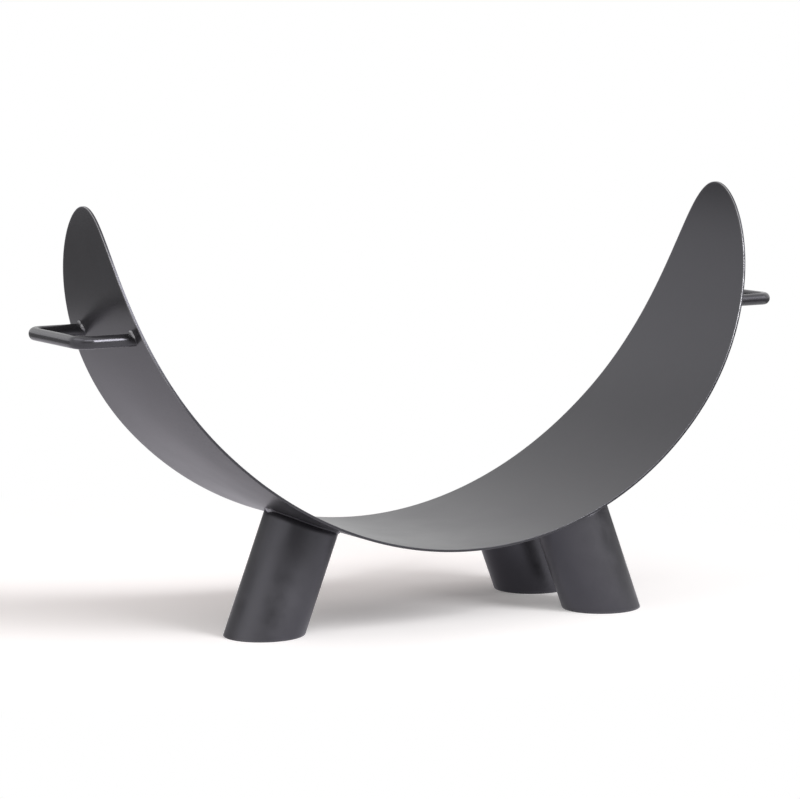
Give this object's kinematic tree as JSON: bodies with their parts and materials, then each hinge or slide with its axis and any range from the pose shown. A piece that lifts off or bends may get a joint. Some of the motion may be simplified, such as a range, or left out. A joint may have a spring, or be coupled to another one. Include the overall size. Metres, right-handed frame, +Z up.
{
  "type": "log holder",
  "caption": "Welded steel log cradle: an oval sheet rolled into a trough, on a tripod of splayed tube feet, with a bent round bar handle at each end.",
  "frame": {"origin": "on the floor, at the middle of the part's bounding box, under the lowest line of the trough", "axes": "+X to the end with the pair of feet, +Y to the back, +Z up"},
  "size_m": [0.8142, 0.224, 0.4248],
  "materials": {
    "sheet_coat": "satin anthracite powder coat",
    "tube_coat": "satin anthracite powder coat",
    "bar_coat": "satin anthracite powder coat",
    "weld_coat": "the same coat over rippled weld metal"
  },
  "bodies": {
    "root": {"trough_sheet": "sheet_coat", "left_leg": "tube_coat", "front_right_leg": "tube_coat", "back_right_leg": "tube_coat", "left_leg_weld": "weld_coat", "front_right_leg_weld": "weld_coat", "back_right_leg_weld": "weld_coat", "left_handle": "bar_coat", "right_handle": "bar_coat", "left_handle_front_weld": "weld_coat", "left_handle_back_weld": "weld_coat", "right_handle_front_weld": "weld_coat", "right_handle_back_weld": "weld_coat"}
  },
  "joints": []
}
